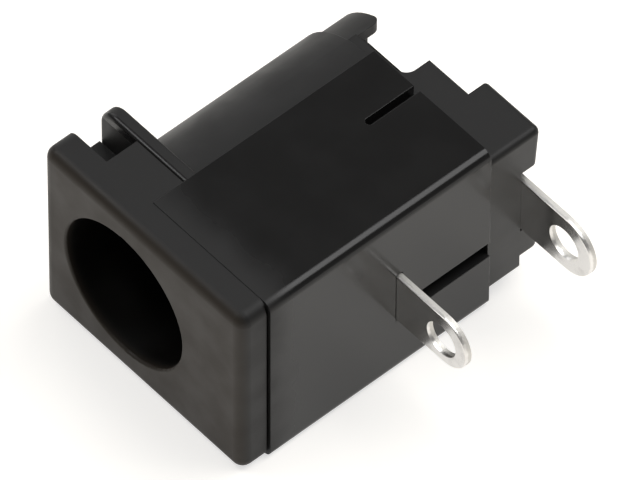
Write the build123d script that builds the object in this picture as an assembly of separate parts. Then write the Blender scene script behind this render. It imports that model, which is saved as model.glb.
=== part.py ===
from build123d import *
from math import radians, tan
import os

# The jack lies on its side wall. +X points to the board side, where the solder lugs leave,
# +Y goes into the jack along the plug, +Z is up, across the housing.
# The origin is the centre of the plug mouth, on the front face. All sizes are in millimetres.

# Housing envelope
housing_width = 9.0
axis_to_board = 6.67
axis_to_top = 4.5
body_length = 12.12

# Front plate, with the fine seam behind its board side
plate_thickness = 1.33
plate_inset = 0.03
plate_board_inset = 0.1
plate_corner_radius = 0.5
plate_edge_radius = 0.48
seam_width = 0.1
seam_depth = 0.2

# Corner grooves behind the plate and the rib that closes them
groove_width = 1.47
groove_floor_from_axis = 2.5
bridge_from_axis = 2.39
rib_thickness = 0.65
rib_root_from_axis = 3.0
rib_corner_radius = 0.8
rib_front_edge_radius = 0.18
rib_back_edge_radius = 0.12

# Barrel, flat-sided body and plug bore
barrel_radius = 4.0
flat_start_from_axis = 0.18
body_edge_radius = 0.4
bore_mouth_radius = 3.24
bore_floor_radius = 3.05
bore_edge_radius = 0.1
bore_floor_wall = 1.34

# Rear block, measured from the back of the body
shelf_length = 0.42
seat_length = 1.62
rear_board_inset = 0.13
rear_half_width = 3.8
rear_edge_radius = 0.28
pocket_side_from_axis = 1.45
pocket_corner_radius = 0.5
seat_corner_radius = 0.2
boss_half_width = 1.7
boss_end_from_axis = 2.0

# Hood over the rear end
hood_length = 1.68
hood_inset = 0.17
hood_wall = 0.5
hood_edge_from_axis = 1.27
hood_corner_radius = 0.4
core_length = 1.0

# Guides beside the pin terminal
guide_start_from_axis = 3.6
guide_length = 0.8
guide_lean = 4.6
guide_corner_radius = 0.25
upper_guide_gap = 0.45
lower_guide_gap = 0.15
lower_guide_width = 1.65

# Empty slot of the switch contact in the upper side wall
switch_slot_from_axis = 2.56
switch_slot_width = 0.33
switch_slot_length = 2.5
switch_slot_depth = 1.2

# Relief slot in the board face
relief_length = 4.1
relief_depth = 1.5
relief_width = 0.82
relief_height = -1.13

# Centre pin
pin_radius = 1.0
pin_setback = 2.0
pin_tip_radius = 0.65
shank_radius = 0.6
stake_radius = 0.85
stake_height = 0.3
stake_edge_radius = 0.2

# Sheet metal of both contacts
sheet = 0.3
eyelet_radius = 0.79
sheared_edge_radius = 0.05

# Terminal of the centre pin
pin_lug_half_width = 1.4
pin_lug_reach = 3.73
pin_eyelet_from_tip = 1.48
pin_strip_half_width = 1.15
pin_strip_shoulder_length = 0.6

# Sleeve contact
contact_from_floor = 3.73
contact_lug_half_width = 1.25
contact_lug_height = -0.16
contact_lug_reach = 3.83
contact_eyelet_from_tip = 1.34
contact_eyelet_height = -0.22
leaf_half_width = 0.9
leaf_bend_radius = 0.45
leaf_root_length = 0.35
leaf_setback = 0.26
leaf_press = 0.84
leaf_tip_lift = 0.6
leaf_tip_length = 1.0

# Clearances
shank_clearance = 0.02
slot_face_clearance = 0.02
slot_side_clearance = 0.1
leaf_clearance = 0.35
leaf_end_clearance = 0.45

# Extra length of a cutting shape past the surface that it cuts
overcut = 1.0

# Places worked out from the sizes above
half_width = housing_width / 2
plate_half_width = half_width - plate_inset
plate_board_face = axis_to_board - plate_board_inset
rear_board_face = axis_to_board - rear_board_inset
beyond = axis_to_board + axis_to_top
rib_start = plate_thickness + groove_width
rib_end = rib_start + rib_thickness
shelf_depth = body_length + shelf_length
core_depth = body_length + core_length
seat_depth = body_length + seat_length
hood_depth = body_length + hood_length
bore_depth = shelf_depth - bore_floor_wall
hood_radius = barrel_radius - hood_inset
core_radius = hood_radius - hood_wall
contact_depth = bore_depth - contact_from_floor
slot_front = contact_depth - slot_face_clearance
slot_back = contact_depth + sheet + slot_face_clearance
leaf_root_from_axis = bore_mouth_radius + leaf_setback
leaf_crest_from_axis = bore_mouth_radius - leaf_press
leaf_end_depth = bore_depth - leaf_end_clearance


def across(depth):
    """Plane across the plug axis at a depth, with sketch x along +X and sketch y along +Z."""
    return Plane(origin=(0, depth, 0), x_dir=(1, 0, 0), z_dir=(0, -1, 0))


def run_back(profile, start, end):
    """Solid of a profile drawn across the plug axis, from depth start to depth end."""
    return extrude(across(start) * profile, amount=start - end)


def oblong(x_low, x_high, z_low, z_high):
    """Rectangle between two distances from the plug axis and two heights."""
    centre = Pos((x_low + x_high) / 2, (z_low + z_high) / 2)
    return centre * Rectangle(x_high - x_low, z_high - z_low)


def rounded_oblong(x_low, x_high, z_low, z_high, radius):
    """The same rectangle with round corners."""
    centre = Pos((x_low + x_high) / 2, (z_low + z_high) / 2)
    return centre * RectangleRounded(x_high - x_low, z_high - z_low, radius)


def front_plate():
    """Front plate with every front edge rounded and the seam let in behind its board side."""
    outline = rounded_oblong(
        -axis_to_top, plate_board_face, -plate_half_width, plate_half_width, plate_corner_radius
    )
    plate = run_back(outline, 0, plate_thickness)
    front_edges = plate.faces().sort_by(Axis.Y)[0].edges()
    plate = fillet(front_edges, plate_edge_radius)
    seam = oblong(plate_board_face - seam_depth, beyond, -beyond, beyond)
    return plate - run_back(seam, plate_thickness - seam_width, plate_thickness)


def collar():
    """Cross-shaped neck behind the front plate and the rib that closes its corner grooves."""
    neck = oblong(-bridge_from_axis, flat_start_from_axis, -plate_half_width, plate_half_width)
    neck += oblong(
        -axis_to_top, flat_start_from_axis, -groove_floor_from_axis, groove_floor_from_axis
    )
    rib_outline = rounded_oblong(
        -axis_to_top, rib_root_from_axis, -half_width, half_width, rib_corner_radius
    )
    rib = run_back(rib_outline, rib_start, rib_end)
    by_depth = rib.faces().sort_by(Axis.Y)
    rib = fillet(by_depth[-1].edges(), rib_back_edge_radius)
    rib = fillet(rib.faces().sort_by(Axis.Y)[0].edges(), rib_front_edge_radius)
    return run_back(neck, plate_thickness, rib_start) + rib


def body():
    """Flat-sided lower half with the round barrel standing out of it."""
    square = oblong(flat_start_from_axis, axis_to_board, -half_width, half_width)
    block = run_back(square, plate_thickness, body_length)
    board_corners = block.edges().filter_by(Axis.Y).group_by(Axis.X)[-1]
    block = fillet(board_corners, body_edge_radius)
    barrel = run_back(Circle(barrel_radius), plate_thickness, body_length)
    return block + barrel


def hood():
    """Shell of the barrel that reaches over the rear end on the side away from the board."""
    ring = Circle(hood_radius) - Circle(core_radius)
    side = oblong(-beyond, -hood_edge_from_axis, -beyond, beyond)
    shell = run_back(ring & side, body_length, hood_depth)
    rear_corners = shell.edges().filter_by(Axis.Z).group_by(Axis.Y)[-1]
    return fillet(rear_corners, hood_corner_radius)


def rear_block():
    """Block behind the body that the pin terminal seats on, open to the rear round its boss."""
    square = oblong(-hood_edge_from_axis, rear_board_face, -rear_half_width, rear_half_width)
    block = run_back(square, body_length, seat_depth)
    board_corners = block.edges().filter_by(Axis.Y).group_by(Axis.X)[-1]
    block = fillet(board_corners, rear_edge_radius)

    above_boss = oblong(-beyond, pocket_side_from_axis, boss_half_width, beyond)
    pocket = run_back(above_boss, shelf_depth, seat_depth + overcut)
    pocket_uprights = pocket.edges().filter_by(Axis.Z).group_by(Axis.X)[-1]
    pocket = fillet(pocket_uprights.sort_by(Axis.Y)[:1], pocket_corner_radius)
    below_boss = oblong(-beyond, pocket_side_from_axis, -beyond, -boss_half_width)
    block -= pocket
    block -= run_back(below_boss, core_depth, seat_depth + overcut)
    seat_uprights = block.edges().filter_by(Axis.Z).group_by(Axis.Y)[-1].group_by(Axis.X)[0]
    block = fillet(seat_uprights, seat_corner_radius)

    open_side = oblong(-hood_edge_from_axis, beyond, boss_half_width, beyond)
    core = run_back(Circle(core_radius) - open_side, body_length, core_depth)
    boss = oblong(-boss_end_from_axis, pocket_side_from_axis, -boss_half_width, boss_half_width)
    return block + core + run_back(boss, body_length, seat_depth)


def guide_back(height):
    """Depth of the guides' leaning rear faces at a height."""
    lean = tan(radians(guide_lean)) * (abs(height) - pin_lug_half_width)
    return seat_depth + guide_length + lean


def guide(z_inner, z_outer):
    """One of the two walls beside the pin terminal, leaning out at the rear away from it."""
    side_view = make_face(
        Polyline(
            (seat_depth, z_inner),
            (guide_back(z_inner), z_inner),
            (guide_back(z_outer), z_outer),
            (seat_depth, z_outer),
            close=True,
        )
    )
    reach = rear_board_face - guide_start_from_axis
    wall = extrude(Plane.YZ.offset(guide_start_from_axis) * side_view, amount=reach)
    board_edges = wall.edges().filter_by(Axis.Y).group_by(Axis.X)[-1]
    outer_board_edge = board_edges.sort_by(lambda edge: abs(edge.center().Z))[-1:]
    wall = fillet(outer_board_edge, rear_edge_radius)
    return fillet(wall.faces().sort_by(Axis.Y)[-1].edges(), guide_corner_radius)


def bore():
    """Drafted plug bore with a softened mouth, as the shape to take away."""
    lip_radius = bore_mouth_radius + bore_edge_radius
    with BuildSketch(Plane.XY) as half:
        with BuildLine():
            Polyline((0, -overcut), (lip_radius, -overcut), (lip_radius, 0))
            RadiusArc((lip_radius, 0), (bore_mouth_radius, bore_edge_radius), bore_edge_radius)
            Polyline(
                (bore_mouth_radius, bore_edge_radius),
                (bore_floor_radius, bore_depth),
                (0, bore_depth),
                (0, -overcut),
            )
        make_face()
    return revolve(half.sketch, Axis.Y)


def contact_openings():
    """Slot of the sleeve contact's leg and the chamber that its leaf springs back into."""
    leg_side = contact_lug_half_width + slot_side_clearance
    leg_slot = run_back(
        oblong(
            leaf_crest_from_axis,
            axis_to_board + overcut,
            contact_lug_height - leg_side,
            contact_lug_height + leg_side,
        ),
        slot_front,
        slot_back,
    )
    leaf_side = leaf_half_width + slot_side_clearance
    chamber_wall = leaf_root_from_axis + sheet / 2 + leaf_clearance
    chamber = run_back(
        oblong(0, chamber_wall, contact_lug_height - leaf_side, contact_lug_height + leaf_side),
        slot_front,
        bore_depth,
    )
    return leg_slot + chamber


def wall_slots():
    """Empty switch slot in the upper wall and the relief slot in the board face."""
    slot_end = body_length - switch_slot_length + switch_slot_width / 2
    slot_plan = Pos(switch_slot_from_axis, (slot_end + body_length) / 2) * Rectangle(
        switch_slot_width, body_length - slot_end
    )
    slot_plan += Pos(switch_slot_from_axis, slot_end) * Circle(switch_slot_width / 2)
    slot_floor = Plane.XY.offset(half_width - switch_slot_depth)
    switch_slot = extrude(slot_floor * slot_plan, amount=switch_slot_depth + overcut)
    relief = run_back(
        oblong(
            axis_to_board - relief_depth,
            axis_to_board + overcut,
            relief_height - relief_width / 2,
            relief_height + relief_width / 2,
        ),
        body_length - relief_length,
        body_length,
    )
    return switch_slot + relief


def housing():
    """One moulded housing."""
    shape = front_plate() + collar() + body() + hood() + rear_block()
    shape += guide(pin_lug_half_width + upper_guide_gap, rear_half_width)
    lower_guide_start = -pin_lug_half_width - lower_guide_gap
    shape += guide(lower_guide_start, lower_guide_start - lower_guide_width)
    shape -= bore()
    shape -= contact_openings()
    shape -= wall_slots()
    shank_hole = Circle(shank_radius + shank_clearance)
    shape -= run_back(shank_hole, bore_depth - overcut, seat_depth + overcut)
    return shape


def centre_pin():
    """Turned pin with a rounded tip, a shoulder on the bore floor and a staked tail."""
    stake_start = seat_depth + sheet
    stake_end = stake_start + stake_height
    half = make_face(
        Polyline(
            (0, pin_setback),
            (pin_radius, pin_setback),
            (pin_radius, bore_depth),
            (shank_radius, bore_depth),
            (shank_radius, stake_start),
            (stake_radius, stake_start),
            (stake_radius, stake_end),
            (0, stake_end),
            close=True,
        )
    )
    pin = revolve(half, Axis.Y)
    rims = pin.edges().filter_by(GeomType.CIRCLE).sort_by(Axis.Y)
    pin = fillet(rims[:1], pin_tip_radius)
    rims = pin.edges().filter_by(GeomType.CIRCLE).sort_by(Axis.Y)
    return fillet(rims[-1:], stake_edge_radius)


def lug_outline(root, half_wide, height, tip, eyelet_from_tip, eyelet_height):
    """Flat lug with a round end and an eyelet hole, from root out to tip."""
    end_centre = tip - half_wide
    outline = oblong(root, end_centre, height - half_wide, height + half_wide)
    outline += Pos(end_centre, height) * Circle(half_wide)
    return outline - Pos(tip - eyelet_from_tip, eyelet_height) * Circle(eyelet_radius)


def soften_sheared_face(plate):
    """Rolled edge round the outline of a blanked plate's front face."""
    face = plate.faces().sort_by(Axis.Y)[0]
    return fillet(face.outer_wire().edges(), sheared_edge_radius)


def pin_terminal():
    """Flat terminal staked to the pin, with its eyelet lug on the board side."""
    shoulder = guide_start_from_axis
    shoulder_end = shoulder + pin_strip_shoulder_length
    outline = oblong(0, shoulder, -pin_strip_half_width, pin_strip_half_width)
    outline += Circle(pin_strip_half_width)
    outline += make_face(
        Polyline(
            (shoulder, -pin_strip_half_width),
            (shoulder_end, -pin_lug_half_width),
            (shoulder_end, pin_lug_half_width),
            (shoulder, pin_strip_half_width),
            close=True,
        )
    )
    tip = axis_to_board + pin_lug_reach
    outline += lug_outline(shoulder_end, pin_lug_half_width, 0, tip, pin_eyelet_from_tip, 0)
    outline -= Circle(shank_radius + shank_clearance)
    return soften_sheared_face(run_back(outline, seat_depth, seat_depth + sheet))


def sleeve_contact():
    """Bent contact: the leg with its eyelet lug, and the leaf that bears on the plug's sleeve."""
    middle = contact_depth + sheet / 2
    bend_end = leaf_root_from_axis + leaf_bend_radius
    leg_outline = lug_outline(
        bend_end,
        contact_lug_half_width,
        contact_lug_height,
        axis_to_board + contact_lug_reach,
        contact_eyelet_from_tip,
        contact_eyelet_height,
    )
    leg = soften_sheared_face(run_back(leg_outline, contact_depth, contact_depth + sheet))
    root_depth = middle + leaf_bend_radius
    rise_depth = root_depth + leaf_root_length
    with BuildLine(Plane.XY) as path:
        RadiusArc((bend_end, middle), (leaf_root_from_axis, root_depth), leaf_bend_radius)
        Line((leaf_root_from_axis, root_depth), (leaf_root_from_axis, rise_depth))
        Spline(
            (leaf_root_from_axis, rise_depth),
            (leaf_crest_from_axis, leaf_end_depth - leaf_tip_length),
            (leaf_crest_from_axis + leaf_tip_lift, leaf_end_depth),
            tangents=((0, 1), (1, 1)),
        )
    start = Plane(origin=(bend_end, middle, contact_lug_height), x_dir=(0, 1, 0), z_dir=(-1, 0, 0))
    section = start * Rectangle(sheet, 2 * leaf_half_width)
    track = Pos(0, 0, contact_lug_height) * path.wire()
    return leg + sweep(section, path=track)


os.makedirs("parts", exist_ok=True)
export_step(housing(), "parts/housing.step")
export_step(centre_pin(), "parts/centre_pin.step")
export_step(pin_terminal(), "parts/pin_terminal.step")
export_step(sleeve_contact(), "parts/sleeve_contact.step")
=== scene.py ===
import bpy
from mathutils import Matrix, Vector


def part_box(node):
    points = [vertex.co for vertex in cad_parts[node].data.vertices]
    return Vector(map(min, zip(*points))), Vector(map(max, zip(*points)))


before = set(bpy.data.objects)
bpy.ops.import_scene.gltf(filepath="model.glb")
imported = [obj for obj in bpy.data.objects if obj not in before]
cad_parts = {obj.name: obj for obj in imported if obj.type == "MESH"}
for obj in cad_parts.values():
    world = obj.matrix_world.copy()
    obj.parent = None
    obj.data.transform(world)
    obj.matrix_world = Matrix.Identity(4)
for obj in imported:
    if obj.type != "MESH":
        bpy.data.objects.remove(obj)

"""Looks of a DC barrel jack: its moulded housing, tin-plated contacts, studio and camera.

All lengths are in metres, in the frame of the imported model: +X to the board side, +Y into the
jack, +Z up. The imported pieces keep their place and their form, and get their finish here.
"""
import logging
import math
from dataclasses import dataclass, field
from enum import Enum

import bpy
from mathutils import Matrix, Vector

MM = 0.001
LOG = logging.getLogger("barrel_jack")
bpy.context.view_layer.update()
BEVEL_SAMPLES = 6
WHITE = (1.0, 1.0, 1.0, 1.0)

Colour = tuple[float, float, float, float]
Triple = tuple[float, float, float]
Socket = bpy.types.NodeSocket


class Axis(Enum):
    """Row axes, as an index into a vector or into the sockets of a split one."""

    X = 0
    Y = 1
    Z = 2


class ColourMix(Enum):
    """Sockets of a Mix node that blends colours, by index."""

    FACTOR = 0
    FIRST = 6
    SECOND = 7
    RESULT = 2


@dataclass
class NodeTree:
    """A material's node tree, with short ways to add and join nodes."""

    material: bpy.types.Material

    @classmethod
    def new(cls, name: str) -> "NodeTree":
        """Start an empty node material.

        Args:
            name: the material's name.

        Returns:
            The tree, with an output node in place.
        """
        material = bpy.data.materials.new(name)
        material.use_nodes = True
        material.node_tree.nodes.clear()
        tree = cls(material)
        tree.add("ShaderNodeOutputMaterial")
        return tree

    @property
    def output(self) -> bpy.types.Node:
        """The material's output node."""
        return self.material.node_tree.nodes[0]

    def add(self, kind: str, **settings: object) -> bpy.types.Node:
        """Add a node.

        Args:
            kind: the node's type name.
            settings: properties of the node, by name.

        Returns:
            The new node.
        """
        node = self.material.node_tree.nodes.new(kind)
        for name, value in settings.items():
            setattr(node, name, value)
        return node

    def join(self, source: Socket, target: Socket) -> None:
        """Join an output socket to an input socket."""
        self.material.node_tree.links.new(source, target)

    def feed(self, value: object, target: Socket) -> None:
        """Give an input socket a plain value, or join it to an output socket.

        Args:
            value: a number, a colour or an output socket.
            target: the input socket.
        """
        if isinstance(value, bpy.types.NodeSocket):
            self.join(value, target)
        else:
            target.default_value = value

    def surface(self, metallic: float = 0.0) -> bpy.types.Node:
        """Add the shader of a solid surface, joined to the output.

        Args:
            metallic: 1 for metal and 0 for anything else.

        Returns:
            The shader node.
        """
        shader = self.add("ShaderNodeBsdfPrincipled")
        shader.inputs["Metallic"].default_value = metallic
        self.join(shader.outputs[0], self.output.inputs["Surface"])
        return shader

    def math(self, operation: str, a: object, b: object = 0.0, clamp: bool = False) -> Socket:
        """Add a math node.

        Args:
            operation: the node's operation.
            a: the first value or socket.
            b: the second value or socket.
            clamp: whether the result stays between 0 and 1.

        Returns:
            The result's socket.
        """
        node = self.add("ShaderNodeMath", operation=operation, use_clamp=clamp)
        self.feed(a, node.inputs[0])
        self.feed(b, node.inputs[1])
        return node.outputs[0]

    def product(self, first: Socket, *others: object) -> Socket:
        """Multiply values.

        Args:
            first: the first socket.
            others: the values or sockets that it is multiplied by.

        Returns:
            The product's socket.
        """
        result = first
        for other in others:
            result = self.math("MULTIPLY", result, other)
        return result

    def rest(self, share: Socket) -> Socket:
        """What a share leaves of 1."""
        return self.math("SUBTRACT", 1.0, share)

    def ramp(
        self, value: Socket, low: float, high: float, to_low: float, to_high: float
    ) -> Socket:
        """Map a value from one range to another, held at both ends and eased between them.

        Args:
            value: the socket to map.
            low: the value that gives to_low.
            high: the value that gives to_high.
            to_low: the result at low.
            to_high: the result at high.

        Returns:
            The result's socket.
        """
        node = self.add("ShaderNodeMapRange", interpolation_type="SMOOTHSTEP")
        self.feed(value, node.inputs["Value"])
        node.inputs["From Min"].default_value = low
        node.inputs["From Max"].default_value = high
        node.inputs["To Min"].default_value = to_low
        node.inputs["To Max"].default_value = to_high
        return node.outputs["Result"]

    def share(self, value: Socket, low: float, high: float) -> Socket:
        """Share that grows from 0 to 1 while a value goes from low to high."""
        return self.ramp(value, low, high, 0.0, 1.0)

    def position(self) -> Socket:
        """Object coordinates, which are the row frame in metres."""
        return self.add("ShaderNodeTexCoord").outputs["Object"]

    def split(self, vector: Socket) -> bpy.types.Node:
        """Split a vector.

        Args:
            vector: the vector's socket.

        Returns:
            The node whose outputs are X, Y and Z.
        """
        node = self.add("ShaderNodeSeparateXYZ")
        self.join(vector, node.inputs[0])
        return node

    def stretched(self, scale: Triple) -> Socket:
        """Object coordinates, scaled along each axis.

        Args:
            scale: the factors along X, Y and Z. Below 1 a pattern gets longer that way.

        Returns:
            The scaled coordinates' socket.
        """
        mapping = self.add("ShaderNodeMapping")
        mapping.inputs["Scale"].default_value = scale
        self.join(self.position(), mapping.inputs["Vector"])
        return mapping.outputs["Vector"]

    def noise(self, vector: Socket, size: float, detail: float = 2.0) -> Socket:
        """Add a noise texture.

        Args:
            vector: the coordinates that it reads.
            size: the width of its patches, in the coordinates' unit.
            detail: how many finer layers it has.

        Returns:
            The noise's value socket.
        """
        node = self.add("ShaderNodeTexNoise")
        node.inputs["Scale"].default_value = 1.0 / size
        node.inputs["Detail"].default_value = detail
        self.join(vector, node.inputs["Vector"])
        return node.outputs["Fac"]

    def mix_colour(self, factor: object, first: object, second: object) -> Socket:
        """Blend two colours.

        Args:
            factor: how much of the second colour there is.
            first: a colour or socket.
            second: a colour or socket.

        Returns:
            The blended colour's socket.
        """
        node = self.add("ShaderNodeMix", data_type="RGBA")
        self.feed(factor, node.inputs[ColourMix.FACTOR.value])
        self.feed(first, node.inputs[ColourMix.FIRST.value])
        self.feed(second, node.inputs[ColourMix.SECOND.value])
        return node.outputs[ColourMix.RESULT.value]

    def bump(self, height: Socket, depth: float, under: Socket | None = None) -> Socket:
        """Add a bump.

        Args:
            height: the height's socket, from 0 to 1.
            depth: the height of 1, in metres.
            under: the normal that the bump is laid on, if any.

        Returns:
            The bumped normal's socket.
        """
        node = self.add("ShaderNodeBump")
        node.inputs["Distance"].default_value = depth
        self.join(height, node.inputs["Height"])
        if under is not None:
            self.join(under, node.inputs["Normal"])
        return node.outputs["Normal"]

    def rounded(self, radius: float) -> Socket:
        """Normal that rounds the sharp edges.

        Args:
            radius: the radius of the rounding.

        Returns:
            The rounded normal's socket.
        """
        bevel = self.add("ShaderNodeBevel", samples=BEVEL_SAMPLES)
        bevel.inputs["Radius"].default_value = radius
        return bevel.outputs["Normal"]

    def edge_share(self, radius: float) -> Socket:
        """How near a point is to a sharp edge.

        Args:
            radius: the distance within which an edge counts.

        Returns:
            A socket that is 0 on flat ground and grows towards an edge.
        """
        likeness = self.add("ShaderNodeVectorMath", operation="DOT_PRODUCT")
        self.join(self.rounded(radius), likeness.inputs[0])
        plain = self.add("ShaderNodeNewGeometry").outputs["Normal"]
        self.join(plain, likeness.inputs[1])
        return self.math("SUBTRACT", 1.0, likeness.outputs["Value"], clamp=True)


@dataclass(frozen=True)
class BlackPlastic:
    """Black moulding, satin but for polish on the body, the bore, the rib and the rear block.

    Each share of polish or painted shade is limited by place, because it is one moulding. The
    recess and the bore are darker by a painted shade in their colour, and the front face is
    warmer by a painted warm cast of light.
    """

    colour: Colour = (0.0105, 0.0102, 0.0100, 1.0)
    # Painted warm light: a warm tint on the front face, standing in for warm light falling on it.
    painted_warm_light_colour: Colour = (0.0280, 0.0215, 0.0150, 1.0)
    worn_colour: Colour = (0.026, 0.025, 0.024, 1.0)
    # Painted shade: a near-black colour laid in the bore and in the recess under the hood.
    painted_shade_colour: Colour = (0.0030, 0.0026, 0.0022, 1.0)
    ior: float = 1.36
    satin_low: float = 0.46
    satin_high: float = 0.56
    polished_low: float = 0.14
    polished_high: float = 0.20
    # Patches of wear and handling, and the noise values between which they change.
    patch_size: float = 1.6 * MM
    patch_low: float = 0.3
    patch_high: float = 0.7
    wear_low: float = 0.4
    wear_high: float = 0.7
    # Worn edges.
    edge_radius: float = 0.04 * MM
    edge_low: float = 0.03
    edge_high: float = 0.3
    # Grain of the mould, nearly gone where it was polished, and sink marks.
    grain_size: float = 0.05 * MM
    grain_depth: float = 0.0016 * MM
    grain_polished_off: float = 0.93
    sink_size: float = 4.5 * MM
    sink_depth: float = 0.012 * MM
    # Limits of the front face and of the square body, and how wide a border is.
    front_face: float = 0.45 * MM
    body_front: float = 1.0 * MM
    front_blend: float = 2.4 * MM
    body_rear: float = 12.135 * MM
    body_low: float = 0.19 * MM
    body_side: float = 4.02 * MM
    body_board: float = 6.62 * MM
    border: float = 0.02 * MM
    # Board face of the rear block.
    block_board: float = 6.52 * MM
    block_gloss: float = 0.55
    # Crest of the rib.
    crest_front: float = 2.78 * MM
    crest_rear: float = 3.00 * MM
    crest_gloss: float = 0.80
    # Plug bore, whose colour gets a painted shade and whose wall is polished.
    bore_radius: float = 3.30 * MM
    bore_end: float = 11.3 * MM
    bore_gloss: float = 0.35
    mouth_start: float = 0.02 * MM
    mouth_end: float = 0.6 * MM
    # Recess under the hood, whose colour gets a painted shade and which is polished.
    recess_radius: float = 3.34 * MM
    recess_side: float = 1.48 * MM
    recess_shade_and_polish: float = 0.95

    def after(self, tree: NodeTree, value: Socket, limit: float) -> Socket:
        """Share that is 1 where a place is past a limit."""
        return tree.share(value, limit, limit + self.border)

    def before(self, tree: NodeTree, value: Socket, limit: float) -> Socket:
        """Share that is 1 where a place is short of a limit."""
        return tree.rest(self.after(tree, value, limit))

    def on_body(self, tree: NodeTree, place: bpy.types.Node) -> Socket:
        """Share of the square body's outer faces, which starts softly behind the plate.

        Args:
            tree: the material's tree.
            place: the node that splits the place into X, Y and Z.

        Returns:
            A socket that is 1 on those faces.
        """
        across, depth = place.outputs[Axis.X.value], place.outputs[Axis.Y.value]
        aside = tree.math("ABSOLUTE", place.outputs[Axis.Z.value])
        side_wall = self.after(tree, aside, self.body_side)
        board_face = self.after(tree, across, self.body_board)
        outer = tree.math("MAXIMUM", side_wall, board_face)
        square = tree.product(self.after(tree, across, self.body_low), outer)
        behind_plate = tree.share(depth, self.body_front, self.body_front + self.front_blend)
        rear = self.after(tree, depth, self.body_rear)
        return tree.product(tree.math("SUBTRACT", behind_plate, rear), square)

    def on_block(self, tree: NodeTree, place: bpy.types.Node) -> Socket:
        """Share that is 1 on the rear block's board face."""
        rear = self.after(tree, place.outputs[Axis.Y.value], self.body_rear)
        return tree.product(rear, self.after(tree, place.outputs[Axis.X.value], self.block_board))

    def on_crest(self, tree: NodeTree, place: bpy.types.Node) -> Socket:
        """Share of the rib's crest, beside the body.

        Args:
            tree: the material's tree.
            place: the node that splits the place into X, Y and Z.

        Returns:
            A socket that is 1 on the crest.
        """
        depth = place.outputs[Axis.Y.value]
        aside = tree.math("ABSOLUTE", place.outputs[Axis.Z.value])
        past_front = self.after(tree, depth, self.crest_front)
        past_rear = self.after(tree, depth, self.crest_rear)
        crest = tree.math("SUBTRACT", past_front, past_rear)
        beside_body = self.before(tree, place.outputs[Axis.X.value], self.body_low)
        return tree.product(crest, self.after(tree, aside, self.body_side), beside_body)

    def from_axis(self, tree: NodeTree, place: bpy.types.Node) -> Socket:
        """Distance from the plug axis.

        Args:
            tree: the material's tree.
            place: the node that splits the place into X, Y and Z.

        Returns:
            The distance's socket.
        """
        level = tree.add("ShaderNodeCombineXYZ")
        for axis in (Axis.X, Axis.Z):
            tree.join(place.outputs[axis.value], level.inputs[axis.value])
        length = tree.add("ShaderNodeVectorMath", operation="LENGTH")
        tree.join(level.outputs[0], length.inputs[0])
        return length.outputs["Value"]

    def in_bore(self, tree: NodeTree, place: bpy.types.Node) -> Socket:
        """Share of the plug bore's wall and floor, which starts softly at the mouth.

        Args:
            tree: the material's tree.
            place: the node that splits the place into X, Y and Z.

        Returns:
            A socket that is 1 in the bore.
        """
        depth = place.outputs[Axis.Y.value]
        inside = self.before(tree, self.from_axis(tree, place), self.bore_radius)
        before_end = self.before(tree, depth, self.bore_end)
        return tree.product(
            inside, before_end, tree.share(depth, self.mouth_start, self.mouth_end)
        )

    def in_recess(self, tree: NodeTree, place: bpy.types.Node) -> Socket:
        """Share of the recess under the hood, with its boss.

        Args:
            tree: the material's tree.
            place: the node that splits the place into X, Y and Z.

        Returns:
            A socket that is 1 in the recess.
        """
        inside = self.before(tree, self.from_axis(tree, place), self.recess_radius)
        behind_body = self.after(tree, place.outputs[Axis.Y.value], self.body_rear)
        beside_block = self.before(tree, place.outputs[Axis.X.value], self.recess_side)
        return tree.product(inside, behind_body, beside_block)

    def polished(self, tree: NodeTree, place: bpy.types.Node) -> Socket:
        """Share of polish on the outside: the body, the rear block's board face and the rib.

        Args:
            tree: the material's tree.
            place: the node that splits the place into X, Y and Z.

        Returns:
            A socket that is 1 where the polish is full.
        """
        block = tree.product(self.on_block(tree, place), self.block_gloss)
        crest = tree.product(self.on_crest(tree, place), self.crest_gloss)
        return tree.math("ADD", tree.math("ADD", self.on_body(tree, place), block), crest)

    def build(self) -> bpy.types.Material:
        """Make the material.

        Returns:
            The black plastic.
        """
        tree = NodeTree.new("black_plastic")
        shader = tree.surface()
        shader.inputs["IOR"].default_value = self.ior
        where = tree.position()
        place = tree.split(where)
        patches = tree.noise(where, self.patch_size, detail=3.0)
        bore = self.in_bore(tree, place)
        # Painted shade share of the recess under the hood, which also sets its polish.
        recess = tree.product(self.in_recess(tree, place), self.recess_shade_and_polish)
        polished = tree.math(
            "MAXIMUM", self.polished(tree, place), tree.product(bore, self.bore_gloss)
        )
        polished = tree.math("MAXIMUM", polished, recess)

        # Painted warm light: the front face takes the warm tint, which fades out behind it.
        front = tree.rest(tree.share(place.outputs[Axis.Y.value], 0.0, self.front_face))
        base = tree.mix_colour(front, self.colour, self.painted_warm_light_colour)
        edges = tree.share(tree.edge_share(self.edge_radius), self.edge_low, self.edge_high)
        worn = tree.product(edges, tree.share(patches, self.wear_low, self.wear_high))
        base = tree.mix_colour(worn, base, self.worn_colour)
        # Painted shade: the bore and the recess take the near-black colour.
        dark = tree.math("MAXIMUM", bore, recess)
        tree.join(tree.mix_colour(dark, base, self.painted_shade_colour), shader.inputs["Base Color"])

        low, high = self.patch_low, self.patch_high
        satin = tree.ramp(patches, low, high, self.satin_low, self.satin_high)
        gloss = tree.ramp(patches, low, high, self.polished_low, self.polished_high)
        change = tree.product(polished, tree.math("SUBTRACT", gloss, satin))
        tree.join(tree.math("ADD", satin, change), shader.inputs["Roughness"])

        sinks = tree.noise(where, self.sink_size, detail=0.0)
        sunk = tree.bump(sinks, self.sink_depth, tree.rounded(self.edge_radius))
        grain_left = tree.rest(tree.product(polished, self.grain_polished_off))
        grain = tree.product(tree.noise(where, self.grain_size), grain_left)
        tree.join(tree.bump(grain, self.grain_depth, sunk), shader.inputs["Normal"])
        return tree.material


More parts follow.
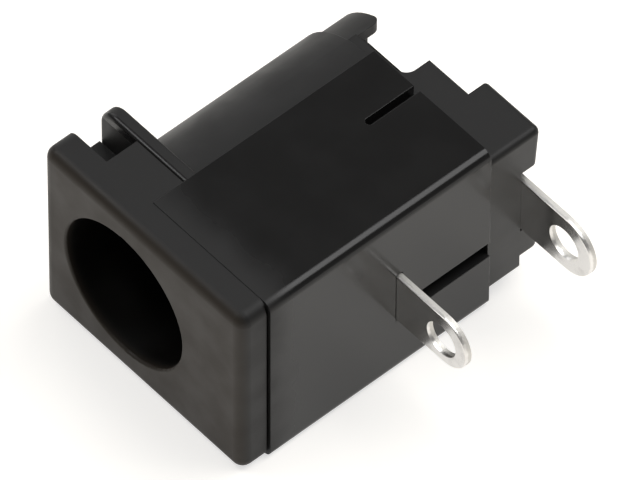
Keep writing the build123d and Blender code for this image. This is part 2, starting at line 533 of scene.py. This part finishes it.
@dataclass(frozen=True)
class TinPlate:
    """Bright tin plating on blanked sheet, whose edges are burnished in front and torn behind.

    front_depth is the depth at which the sheet's front face lies.
    """

    name: str
    front_depth: float
    colour: Colour = (0.80, 0.785, 0.76, 1.0)
    dull_colour: Colour = (0.62, 0.60, 0.57, 1.0)
    torn_colour: Colour = (0.70, 0.685, 0.65, 1.0)
    # Smudges, and the noise values between which they dull and roughen the tin.
    smudge_size: float = 0.8 * MM
    dull_low: float = 0.45
    dull_high: float = 0.75
    dull_most: float = 0.8
    rough_from: float = 0.35
    rough_to: float = 0.7
    rough_low: float = 0.14
    rough_high: float = 0.24
    # Sheared edges: the normal's part along Y up to which it is an edge's and from which it is
    # a face's, then the two bands of an edge.
    sheared_to: float = 0.5
    flat_from: float = 0.8
    burnished_rough: float = 0.30
    burnished_width: float = 0.14 * MM
    torn_rough: float = 0.55
    # The ragged line between the bands.
    ragged_size: float = 0.12 * MM
    ragged_reach: float = 0.16 * MM
    ragged_stretch: Triple = (1.0, 0.2, 1.0)
    border: float = 0.02 * MM
    # Rolling lines on the faces.
    line_length: float = 1.2 * MM
    line_width: float = 0.04 * MM
    line_depth: float = 0.0006 * MM
    # Tears across the edges, fainter on the burnished band.
    tear_width: float = 0.06 * MM
    tear_depth: float = 0.016 * MM
    tear_stretch: Triple = (1.0, 0.15, 1.0)
    tear_burnished: float = 0.35

    def sheared(self, tree: NodeTree) -> Socket:
        """Share of the sheared edges.

        Args:
            tree: the material's tree.

        Returns:
            A socket that is 1 on the edges and 0 on the sheet's faces.
        """
        normal = tree.split(tree.add("ShaderNodeNewGeometry").outputs["Normal"])
        flat = tree.math("ABSOLUTE", normal.outputs[Axis.Y.value])
        return tree.ramp(flat, self.sheared_to, self.flat_from, 1.0, 0.0)

    def torn(self, tree: NodeTree, sheared: Socket) -> Socket:
        """Share of the torn band of the sheared edges.

        Args:
            tree: the material's tree.
            sheared: the share of the sheared edges.

        Returns:
            A socket that is 1 on the torn band.
        """
        depth = tree.split(tree.position()).outputs[Axis.Y.value]
        ragged = tree.noise(tree.stretched(self.ragged_stretch), self.ragged_size, detail=3.0)
        ragged = tree.product(tree.math("SUBTRACT", ragged, 0.5), self.ragged_reach)
        middle = self.front_depth + self.burnished_width
        behind = tree.share(
            tree.math("ADD", depth, ragged), middle - self.border, middle + self.border
        )
        return tree.product(behind, sheared)

    def build(self) -> bpy.types.Material:
        """Make the material.

        Returns:
            The tin of one sheet-metal piece.
        """
        tree = NodeTree.new(self.name)
        shader = tree.surface(metallic=1.0)
        smudges = tree.noise(tree.position(), self.smudge_size, detail=4.0)
        sheared = self.sheared(tree)
        torn = self.torn(tree, sheared)

        dull = tree.ramp(smudges, self.dull_low, self.dull_high, 0.0, self.dull_most)
        base = tree.mix_colour(dull, self.colour, self.dull_colour)
        tree.join(tree.mix_colour(torn, base, self.torn_colour), shader.inputs["Base Color"])

        rough = tree.ramp(
            smudges, self.rough_from, self.rough_to, self.rough_low, self.rough_high
        )
        burnished = tree.product(sheared, self.burnished_rough - self.rough_low)
        tearing = tree.product(torn, self.torn_rough - self.burnished_rough)
        rough = tree.math("ADD", tree.math("ADD", rough, burnished), tearing)
        tree.join(rough, shader.inputs["Roughness"])

        squeeze = self.line_width / self.line_length
        lines = tree.noise(tree.stretched((squeeze, 1.0, 1.0)), self.line_width)
        rolled = tree.bump(lines, self.line_depth)
        tears = tree.noise(tree.stretched(self.tear_stretch), self.tear_width, detail=3.0)
        faint = tree.product(sheared, self.tear_burnished)
        tears = tree.product(tears, tree.math("MAXIMUM", torn, faint))
        tree.join(tree.bump(tears, self.tear_depth, rolled), shader.inputs["Normal"])
        return tree.material


@dataclass(frozen=True)
class TurnedTin:
    """Plating on the turned pin, with fine rings from the lathe."""

    colour: Colour = (0.78, 0.765, 0.74, 1.0)
    smudge_size: float = 0.7 * MM
    rough_from: float = 0.35
    rough_to: float = 0.7
    rough_low: float = 0.14
    rough_high: float = 0.28
    ring_pitch: float = 0.06 * MM
    ring_depth: float = 0.0012 * MM
    ring_stretch: Triple = (0.05, 1.0, 0.05)

    def build(self) -> bpy.types.Material:
        """Make the material.

        Returns:
            The pin's tin.
        """
        tree = NodeTree.new("turned_tin")
        shader = tree.surface(metallic=1.0)
        shader.inputs["Base Color"].default_value = self.colour
        smudges = tree.noise(tree.position(), self.smudge_size, detail=3.0)
        rough = tree.ramp(
            smudges, self.rough_from, self.rough_to, self.rough_low, self.rough_high
        )
        tree.join(rough, shader.inputs["Roughness"])
        rings = tree.noise(tree.stretched(self.ring_stretch), self.ring_pitch, detail=1.0)
        tree.join(tree.bump(rings, self.ring_depth), shader.inputs["Normal"])
        return tree.material


@dataclass
class MouldedHousing:
    """The one-piece moulding."""

    node: str = "housing"
    finish: BlackPlastic = field(default_factory=BlackPlastic)

    def dress(self) -> None:
        """Give the moulding its plastic."""
        dress_node(self.node, self.finish.build())


@dataclass
class Contacts:
    """The pin, its terminal and the sleeve contact, with the depth of each sheet's front."""

    pin_node: str = "centre_pin"
    terminal_node: str = "pin_terminal"
    terminal_depth: float = 13.74 * MM
    contact_node: str = "sleeve_contact"
    contact_depth: float = 7.47 * MM

    def dress(self) -> None:
        """Give the metal pieces their plating."""
        dress_node(self.pin_node, TurnedTin().build())
        dress_node(self.terminal_node, TinPlate("terminal_tin", self.terminal_depth).build())
        dress_node(self.contact_node, TinPlate("contact_tin", self.contact_depth).build())


def dress_node(name: str, material: bpy.types.Material) -> None:
    """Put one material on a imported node.

    Args:
        name: the node.
        material: its finish.
    """
    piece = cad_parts[name]
    piece.data.materials.clear()
    piece.data.materials.append(material)
    LOG.info("%s dressed in %s", name, material.name)


def deselect_all() -> None:
    """Leave nothing selected."""
    for piece in bpy.context.selected_objects:
        piece.select_set(False)


@dataclass
class Softbox:
    """A square lamp that faces the jack, seen from it in a direction and at a distance."""

    name: str
    direction: Triple
    distance: float
    width: float
    radiance: float

    def build(self, target: Vector) -> None:
        """Set up the lamp.

        Args:
            target: the point that it faces.
        """
        lamp = bpy.data.lights.new(self.name, "AREA")
        lamp.shape = "SQUARE"
        lamp.size = self.width
        lamp.energy = self.radiance * math.pi * self.width**2
        holder = bpy.data.objects.new(self.name, lamp)
        bpy.context.scene.collection.objects.link(holder)
        away = Vector(self.direction).normalized()
        holder.location = target + away * self.distance
        holder.rotation_euler = away.to_track_quat("Z", "Y").to_euler()


def three_lamps() -> list[Softbox]:
    """Place the lamps over the jack, before it and beside it.

    Returns:
        The three softboxes.
    """
    return [
        Softbox("overhead_box", (0.15, 0.41, 0.86), distance=0.50, width=0.38, radiance=4.2),
        Softbox("front_box", (-0.46, -0.30, 0.83), distance=0.60, width=0.24, radiance=5.0),
        Softbox("side_box", (-0.82, 0.25, 0.52), distance=0.60, width=0.34, radiance=1.5),
    ]


@dataclass
class Studio:
    """Pale floor, soft world and softboxes."""

    floor_height: float
    floor_width: float = 6.0
    floor_colour: Colour = (0.62, 0.59, 0.54, 1.0)
    floor_glow: float = 0.64
    # The world's strength at the horizon and overhead, and the heights between which it fades.
    world_low: float = 0.30
    world_high: float = 0.16
    fade_start: float = 0.05
    fade_end: float = 0.40
    lamps: list[Softbox] = field(default_factory=three_lamps)

    def build_floor(self) -> None:
        """Lay the floor and give it a white that keeps the shadow."""
        deselect_all()
        bpy.ops.mesh.primitive_plane_add(
            size=self.floor_width, location=(0.0, 0.0, self.floor_height)
        )
        floor = bpy.context.object
        floor.name = "studio_floor"
        tree = NodeTree.new("pale_floor")
        cover = tree.add("ShaderNodeBsdfDiffuse")
        cover.inputs["Color"].default_value = self.floor_colour
        glow = tree.add("ShaderNodeEmission")
        rays = tree.add("ShaderNodeLightPath")
        seen = tree.math(
            "MAXIMUM", rays.outputs["Is Camera Ray"], rays.outputs["Is Glossy Ray"]
        )
        seen = tree.math("MAXIMUM", seen, rays.outputs["Is Transmission Ray"])
        tree.join(tree.product(seen, self.floor_glow), glow.inputs["Strength"])
        both = tree.add("ShaderNodeAddShader")
        tree.join(cover.outputs[0], both.inputs[0])
        tree.join(glow.outputs[0], both.inputs[1])
        tree.join(both.outputs[0], tree.output.inputs["Surface"])
        floor.data.materials.append(tree.material)
        LOG.info("%s laid at %.2f mm", floor.name, self.floor_height / MM)

    def build_world(self) -> None:
        """Make a soft world, bright at the horizon and dim overhead."""
        world = bpy.data.worlds.new("soft_world")
        bpy.context.scene.world = world
        world.use_nodes = True
        nodes, links = world.node_tree.nodes, world.node_tree.links
        background = nodes["Background"]
        background.inputs["Color"].default_value = WHITE
        direction = nodes.new("ShaderNodeTexCoord")
        split = nodes.new("ShaderNodeSeparateXYZ")
        links.new(direction.outputs["Generated"], split.inputs[0])
        fade = nodes.new("ShaderNodeMapRange")
        fade.interpolation_type = "SMOOTHSTEP"
        fade.inputs["From Min"].default_value = self.fade_start
        fade.inputs["From Max"].default_value = self.fade_end
        fade.inputs["To Min"].default_value = self.world_low
        fade.inputs["To Max"].default_value = self.world_high
        links.new(split.outputs[Axis.Z.value], fade.inputs["Value"])
        links.new(fade.outputs["Result"], background.inputs["Strength"])

    def build(self, target: Vector) -> None:
        """Set up the whole studio.

        Args:
            target: the point that the lamps face.
        """
        self.build_floor()
        self.build_world()
        for lamp in self.lamps:
            lamp.build(target)
        bpy.context.scene.view_settings.view_transform = "Standard"


@dataclass
class PhotoCamera:
    """The photograph's camera, solved from the jack's edges in its 640 by 480 frame.

    focal_pixels, frame_width and centre_x are in that frame's pixels.
    """

    azimuth: float = math.radians(48.314)
    elevation: float = math.radians(51.676)
    roll: float = math.radians(0.215)
    distance: float = 572.07 * MM
    focal_pixels: float = 15516.0
    frame_width: float = 640.0
    centre_x: float = 316.62
    target: Triple = (1.0 * MM, 7.0 * MM, 0.0)
    offset_x: float = -1.197 * MM
    offset_y: float = 1.041 * MM
    sensor: float = 36.0
    nearest: float = 10.0 * MM

    def build(self) -> None:
        """Place the camera and make it the scene's own."""
        flat = math.cos(self.elevation)
        away_x, away_y = math.sin(self.azimuth) * flat, -math.cos(self.azimuth) * flat
        back = Vector((away_x, away_y, math.sin(self.elevation)))
        level = Vector((math.cos(self.azimuth), math.sin(self.azimuth), 0.0))
        upright = back.cross(level)
        right = math.cos(self.roll) * level + math.sin(self.roll) * upright
        up = math.cos(self.roll) * upright - math.sin(self.roll) * level
        place = Vector(self.target) + back * self.distance
        place -= right * self.offset_x + up * self.offset_y
        data = bpy.data.cameras.new("photo_camera")
        data.sensor_width = self.sensor
        data.lens = self.focal_pixels / self.frame_width * self.sensor
        data.shift_x = 0.5 - self.centre_x / self.frame_width
        data.clip_start = self.nearest
        camera = bpy.data.objects.new("photo_camera", data)
        bpy.context.scene.collection.objects.link(camera)
        turn = Matrix((right, up, back)).transposed().to_4x4()
        camera.matrix_world = Matrix.Translation(place) @ turn
        bpy.context.scene.camera = camera


def main() -> None:
    """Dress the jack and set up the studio."""
    logging.basicConfig(level=logging.INFO, format="%(message)s")
    camera = PhotoCamera()
    camera.build()
    MouldedHousing().dress()
    Contacts().dress()
    lowest = min(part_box(node)[0][Axis.Z.value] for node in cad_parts)
    Studio(floor_height=lowest).build(Vector(camera.target))


if __name__ == "__main__":
    main()
